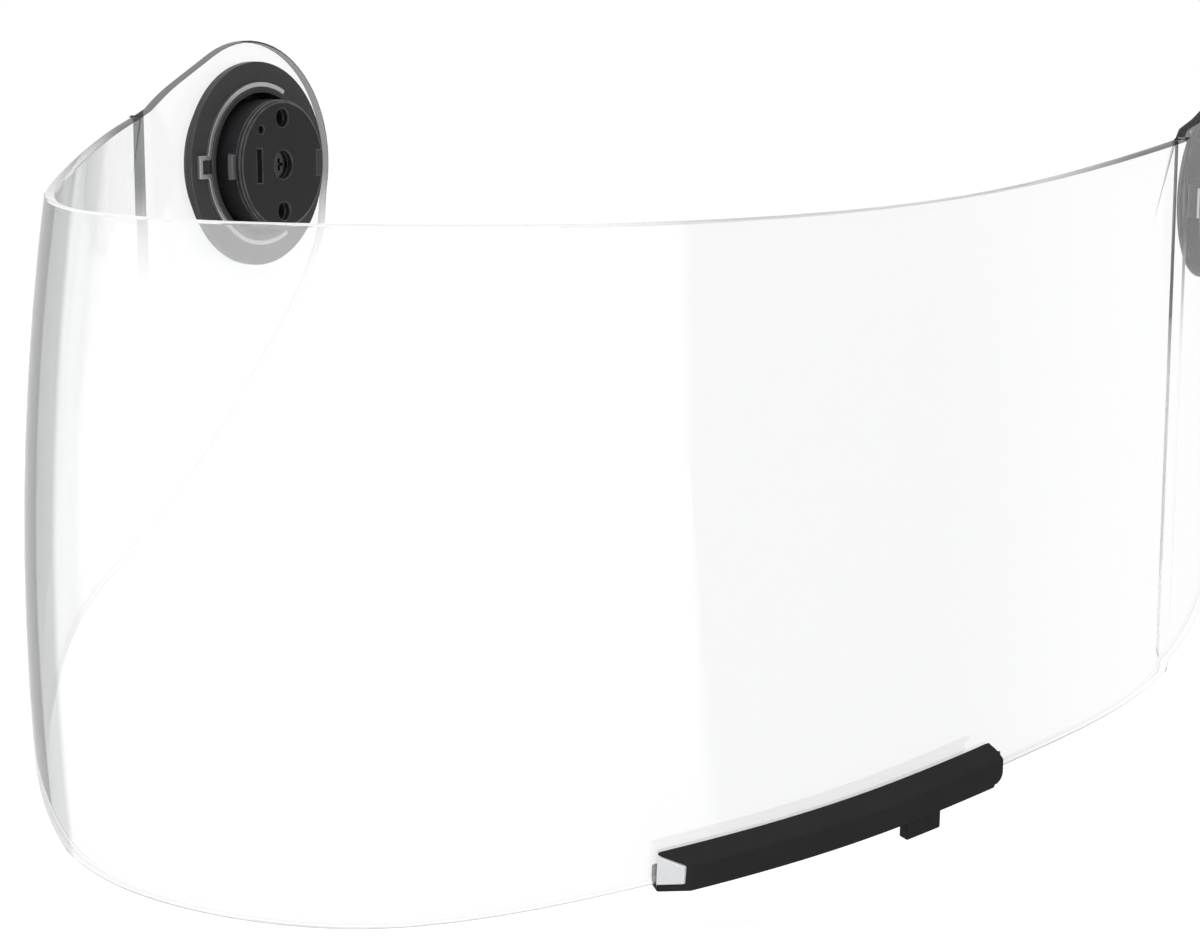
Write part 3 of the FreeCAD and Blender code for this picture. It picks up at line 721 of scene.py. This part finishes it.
def outer_skin(mesh, sharp_angle):
    """Keeps only the shell's outer face: what its foremost face meets without a sharp edge."""
    foremost = min(mesh.faces, key=lambda face: face.calc_center_median().y)
    kept, waiting = {foremost}, [foremost]
    while waiting:
        for edge in waiting.pop().edges:
            if edge.calc_face_angle(0) > sharp_angle:
                continue
            for face in edge.link_faces:
                if face not in kept:
                    kept.add(face)
                    waiting.append(face)
    bmesh.ops.delete(mesh, geom=[face for face in mesh.faces if face not in kept], context="FACES")


def zone_of(face, step_place, step_slope):
    """The zone of a face: an ear's step, the ear behind it, or the front with the sides."""
    if face.normal.y > step_slope:
        return step_zone
    return ear_zone if face.calc_center_median().y > step_place else front_zone


def fitted_normals(vertices, count):
    """Normals of the smooth surface through these corners, from a curved patch at each corner."""
    tree = KDTree(len(vertices))
    for index, vertex in enumerate(vertices):
        tree.insert(vertex.co, index)
    tree.balance()
    found = []
    for vertex in vertices:
        up = vertex.normal
        along = up.orthogonal().normalized()
        across = up.cross(along)
        near = [place - vertex.co for place, _, _ in tree.find_n(vertex.co, count)]
        u = np.array([step.dot(along) for step in near])
        v = np.array([step.dot(across) for step in near])
        rise = np.array([step.dot(up) for step in near])
        terms = np.stack([u, v, u * u, u * v, v * v], axis=1)
        rise_u, rise_v = np.linalg.lstsq(terms, rise, rcond=None)[0][:2].tolist()
        found.append((vertex.co.copy(), (up - rise_u * along - rise_v * across).normalized()))
    return found


def even_shading(data, normals_of):
    """Gives the wall's two faces the smooth surface's normals. Cut edges keep their own."""
    trees = {}
    for zone, samples in normals_of.items():
        trees[zone] = KDTree(len(samples))
        for index, (place, _) in enumerate(samples):
            trees[zone].insert(place, index)
        trees[zone].balance()
    zones, edges = data.attributes["zone"].data, data.attributes["rounded_edge"].data
    normals = [Vector((0, 0, 0))] * len(data.loops)
    for polygon in data.polygons:
        if edges[polygon.index].value > 0:
            continue
        zone = round(zones[polygon.index].value)
        for loop in polygon.loop_indices:
            if zone == step_zone:
                normals[loop] = polygon.normal
                continue
            place = data.vertices[data.loops[loop].vertex_index].co
            normal = normals_of[zone][trees[zone].find(place)[1]][1]
            normals[loop] = normal if normal.dot(polygon.normal) > 0 else -normal
    data.normals_split_custom_set(normals)


def clear_shell(sizes):
    """The shell as its outer face with an even wall, so that both faces lie alike."""
    cut_edge_slot = 1
    source = frame["nodes"]["visor_lens"]
    mesh = bmesh.new()
    mesh.from_mesh(source.data)
    zone = mesh.faces.layers.float.new("zone")
    step = mesh.faces.layers.float.new("ear_step")
    slope = mesh.faces.layers.float.new("step_slope")
    edge = mesh.faces.layers.float.new("rounded_edge")
    bmesh.ops.remove_doubles(mesh, verts=mesh.verts, dist=sizes.merge_gap)
    outer_skin(mesh, sizes.sharp_angle)
    steps = [face for face in mesh.faces if face.normal.y > sizes.step_slope]
    step_place = sum(face.calc_center_median().y for face in steps) / len(steps)
    for face in mesh.faces:
        face.smooth = True
        face[zone] = zone_of(face, step_place, sizes.step_slope)
    normals_of = {}
    for number in (front_zone, ear_zone):
        corners = {v for face in mesh.faces if face[zone] == number for v in face.verts}
        in_order = sorted(corners, key=lambda v: v.index)
        normals_of[number] = fitted_normals(in_order, sizes.patch_corners)
    outer = set(mesh.faces)
    made = bmesh.ops.solidify(mesh, geom=list(mesh.faces), thickness=sizes.wall)
    walls = outer.union(part for part in made["geom"] if isinstance(part, bmesh.types.BMFace))
    for face in mesh.faces:
        face.smooth = True
        face[slope] = 1 if face[zone] == step_zone else 0
        face[step] = face[slope] if face in outer else 0
        if face not in walls:
            face[edge] = 1
            face.material_index = cut_edge_slot
    sharp = [e for e in mesh.edges if e.calc_face_angle(0) > sizes.sharp_angle]
    made = bmesh.ops.bevel(mesh, geom=sharp, offset=sizes.lens_edge, offset_type="OFFSET",
                           segments=sizes.steps, profile=0.5, affect="EDGES", clamp_overlap=False,
                           material=cut_edge_slot)
    for face in made["faces"]:
        face[edge] = 1
    bmesh.ops.recalc_face_normals(mesh, faces=mesh.faces)
    data = bpy.data.meshes.new("clear_shell")
    mesh.to_mesh(data)
    mesh.free()
    data.materials.append(clear_wall())
    data.materials.append(clear_edge())
    even_shading(data, normals_of)
    piece = bpy.data.objects.new("clear_shell", data)
    bpy.context.scene.collection.objects.link(piece)
    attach(piece, source["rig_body"])
    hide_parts("visor_lens")
    return piece


class VISOR_OT_lens(Operator):
    """Make the clear shell with its polished edge"""

    bl_idname = "visor.lens"
    bl_label = "Clear shell"

    def execute(self, context):
        clear_shell(context.scene.visor_sizes)
        return {"FINISHED"}


class VISOR_OT_tab(Operator):
    """Make the opening tab: channel, light core, peg and bonding strip"""

    bl_idname = "visor.tab"
    bl_label = "Opening tab"

    def execute(self, context):
        sizes, look = context.scene.visor_sizes, context.scene.visor_plastic
        satin = plastic("tab_satin", look.tab)
        finished_piece("tab_cover", sizes.tab_edge, satin)
        finished_piece("tab_peg", sizes.tab_edge, satin)
        finished_piece("tab_core", sizes.core_edge, plastic("tab_core_grey", look.core))
        paint("tab_tape", plastic("bonding_strip", look.strip))
        return {"FINISHED"}


class VISOR_OT_rings(Operator):
    """Make the toothed rings in the ears and the flat spring clips round them"""

    bl_idname = "visor.rings"
    bl_label = "Rings and clips"

    def execute(self, context):
        sizes, look = context.scene.visor_sizes, context.scene.visor_plastic
        satin = plastic("ring_satin", look.ring)
        spring = steel("clip_steel", context.scene.visor_metal.clip)
        for side in sides:
            finished_piece("ear_ring_" + side, sizes.ring_edge, satin)
            finished_piece("retaining_clip_" + side, sizes.clip_edge, spring)
        return {"FINISHED"}


class VISOR_OT_caps(Operator):
    """Make the outer caps and the screws in them"""

    bl_idname = "visor.caps"
    bl_label = "Caps and screws"

    def execute(self, context):
        sizes, look = context.scene.visor_sizes, context.scene.visor_plastic
        gloss = plastic("cap_gloss", look.cap)
        plated = steel("plated_steel", context.scene.visor_metal.screw)
        for side in sides:
            finished_piece("pivot_cap_" + side, sizes.cap_edge, gloss)
            finished_piece("cap_screws_" + side, sizes.screw_edge, plated)
            finished_piece("pin_screw_" + side, sizes.screw_edge, plated)
        return {"FINISHED"}


class VISOR_OT_hubs(Operator):
    """Make the hubs, their covers and the lock sliders"""

    bl_idname = "visor.hubs"
    bl_label = "Hubs, covers and sliders"

    def execute(self, context):
        sizes, look = context.scene.visor_sizes, context.scene.visor_plastic
        hub = plastic("hub_satin", look.hub)
        cover = plastic("hub_cover_satin", look.cover)
        slider = plastic("slider_satin", look.slider)
        for side in sides:
            finished_piece("pivot_hub_" + side, sizes.hub_edge, hub)
            finished_piece("hub_cover_" + side, sizes.hub_edge, cover)
            finished_piece("lock_slider_" + side, sizes.slider_edge, slider)
        return {"FINISHED"}


class VISOR_OT_inner(Operator):
    """Finish the pieces inside the pivots: pins, washers, pawls and springs"""

    bl_idname = "visor.inner"
    bl_label = "Inner pieces"

    def execute(self, context):
        metal = context.scene.visor_metal
        turned, wire = steel("turned_steel", metal.pin), steel("spring_wire", metal.wire)
        nylon = plastic("natural_nylon", context.scene.visor_plastic.nylon)
        inner = {"pivot_pin_": turned, "pin_washer_": turned, "thrust_washer_": nylon,
                 "detent_pawl_": nylon, "detent_spring_": wire, "lock_spring_": wire}
        for side in sides:
            for name, material in inner.items():
                paint(name + side, material)
        return {"FINISHED"}


# Stage

def half_tone(tree, look, place, start, blur, spread):
    """What glossy rays see in this direction or at this place: 1, or dimmer in half the studio.

    The dimmer half starts with a blurred line across its direction and, from the middle, reaches
    its full tone over a spread along +X.
    """
    side = tree.nodes.new("ShaderNodeVectorMath")
    side.operation = "DOT_PRODUCT"
    side.inputs[1].default_value = look.room_side
    tree.links.new(place, side.inputs[0])
    dim = math_node(tree, "MULTIPLY", ramp(tree, side.outputs["Value"], start - blur, start + blur),
                    ramp(tree, split(tree, place)["X"], 0.0, spread))
    return between(tree, dim, 1.0, look.room)


def make_world(look):
    """White where it is seen, softer on the pieces, and dimmer on one side in their gloss."""
    world = bpy.data.worlds.new("white_studio")
    bpy.context.scene.world = world
    world.use_nodes = True
    tree = world.node_tree
    background = tree.nodes["Background"]
    background.inputs["Color"].default_value = (1, 1, 1, 1)
    direction = tree.nodes.new("ShaderNodeTexCoord").outputs["Generated"]
    path = tree.nodes.new("ShaderNodeLightPath")
    gloss = half_tone(tree, look, direction, start=0.0, blur=0.02, spread=0.4)
    light = between(tree, path.outputs["Is Glossy Ray"], look.sky, gloss)
    shown = math_node(tree, "MAXIMUM", path.outputs["Is Camera Ray"],
                      path.outputs["Is Transmission Ray"])
    tree.links.new(between(tree, shown, light, 1.0), background.inputs["Strength"])


def make_floor(look):
    """Pale floor just under the part, white where no shadow falls."""
    mesh = bmesh.new()
    bmesh.ops.create_grid(mesh, x_segments=1, y_segments=1, size=look.floor_size / 2)
    bmesh.ops.translate(mesh, verts=mesh.verts, vec=Vector((0, 0, cad_low.z - look.floor_gap)))
    data = bpy.data.meshes.new("floor")
    mesh.to_mesh(data)
    mesh.free()
    material, tree, shader = new_material("pale_floor")
    grey = look.floor_tone
    shader.inputs["Base Color"].default_value = (grey, grey, grey, 1)
    shader.inputs["Roughness"].default_value = 0.9
    shader.inputs["Specular IOR Level"].default_value = 0.0
    path = tree.nodes.new("ShaderNodeLightPath")
    gloss = half_tone(tree, look, own_place(tree), start=look.room_line, blur=0.005, spread=0.15)
    # The glow makes up what the even light leaves, so that the open floor is white
    lit = (1 - look.floor_shade * grey * look.sky) / (1 - look.floor_shade)
    open_share = math_node(tree, "MULTIPLY", path.outputs["Is Camera Ray"], 1 - look.floor_shade)
    surface = shader.outputs[0]
    for share, strength in ((open_share, lit), (path.outputs["Is Glossy Ray"], gloss),
                            (path.outputs["Is Transmission Ray"], 1.0)):
        glow = tree.nodes.new("ShaderNodeEmission")
        if isinstance(strength, float):
            glow.inputs["Strength"].default_value = strength
        else:
            tree.links.new(strength, glow.inputs["Strength"])
        surface = mixed_shader(tree, share, surface, glow.outputs[0])
    tree.links.new(surface, tree.nodes["Material Output"].inputs["Surface"])
    data.materials.append(material)
    floor = bpy.data.objects.new("floor", data)
    bpy.context.scene.collection.objects.link(floor)


def make_lamp(name, place, power, look):
    """A square soft lamp that shines at the middle of the part."""
    aim = (cad_low + cad_high) / 2
    data = bpy.data.lights.new(name, "AREA")
    data.shape = "SQUARE"
    data.size = look.lamp_width
    data.energy = power
    lamp = bpy.data.objects.new(name, data)
    lamp.location = place
    lamp.rotation_mode = "QUATERNION"
    lamp.rotation_quaternion = (aim - Vector(place)).to_track_quat("-Z", "Y")
    lamp.visible_camera = False
    lamp.visible_glossy = False
    lamp.visible_transmission = False
    bpy.context.scene.collection.objects.link(lamp)


def make_camera(look):
    """The photograph's camera."""
    turn, dip = look.camera_turn, look.camera_dip
    level = math.cos(dip)
    ahead = Vector((-math.sin(turn) * level, math.cos(turn) * level, -math.sin(dip)))
    data = bpy.data.cameras.new("photo_camera")
    data.lens = look.focal_length
    data.clip_start, data.clip_end = 0.01, 50
    camera = bpy.data.objects.new("photo_camera", data)
    camera.location = look.camera_place
    camera.rotation_mode = "QUATERNION"
    camera.rotation_quaternion = ahead.to_track_quat("-Z", "Y")
    bpy.context.scene.collection.objects.link(camera)
    bpy.context.scene.camera = camera


class VISOR_OT_stage(Operator):
    """Set the camera, the pale floor and the soft light"""

    bl_idname = "visor.stage"
    bl_label = "Studio"

    def execute(self, context):
        look = context.scene.visor_stage
        make_world(look)
        make_floor(look)
        make_camera(look)
        make_lamp("key_lamp", look.key_place, look.key_power, look)
        make_lamp("fill_lamp", look.fill_place, look.fill_power, look)
        context.scene.view_settings.view_transform = "Standard"
        return {"FINISHED"}


class VISOR_PT_finish(Panel):
    """Steps that finish the visor"""

    bl_label = "Visor finish"
    bl_space_type = "VIEW_3D"
    bl_region_type = "UI"
    bl_category = "Visor"

    def draw(self, context):
        for operator in operators:
            self.layout.operator(operator.bl_idname)
        for title, group in settings.items():
            box = self.layout.box()
            box.label(text=group.__doc__)
            for name in group.__annotations__:
                box.prop(getattr(context.scene, title), name)


operators = (VISOR_OT_lens, VISOR_OT_tab, VISOR_OT_rings, VISOR_OT_caps, VISOR_OT_hubs,
             VISOR_OT_inner, VISOR_OT_stage)
settings = {"visor_sizes": VisorSizes, "visor_lens": LensLook, "visor_plastic": PlasticLook,
            "visor_metal": MetalLook, "visor_stage": StageLook}


def register():
    for group in settings.values():
        bpy.utils.register_class(group)
    for title, group in settings.items():
        setattr(bpy.types.Scene, title, PointerProperty(type=group))
    for made in (*operators, VISOR_PT_finish):
        bpy.utils.register_class(made)


def unregister():
    for made in reversed((*operators, VISOR_PT_finish)):
        bpy.utils.unregister_class(made)
    for title in settings:
        delattr(bpy.types.Scene, title)
    for group in reversed(tuple(settings.values())):
        bpy.utils.unregister_class(group)


def main():
    register()
    for operator in operators:
        area, name = operator.bl_idname.split(".")
        getattr(getattr(bpy.ops, area), name)()


if __name__ == "__main__":
    main()
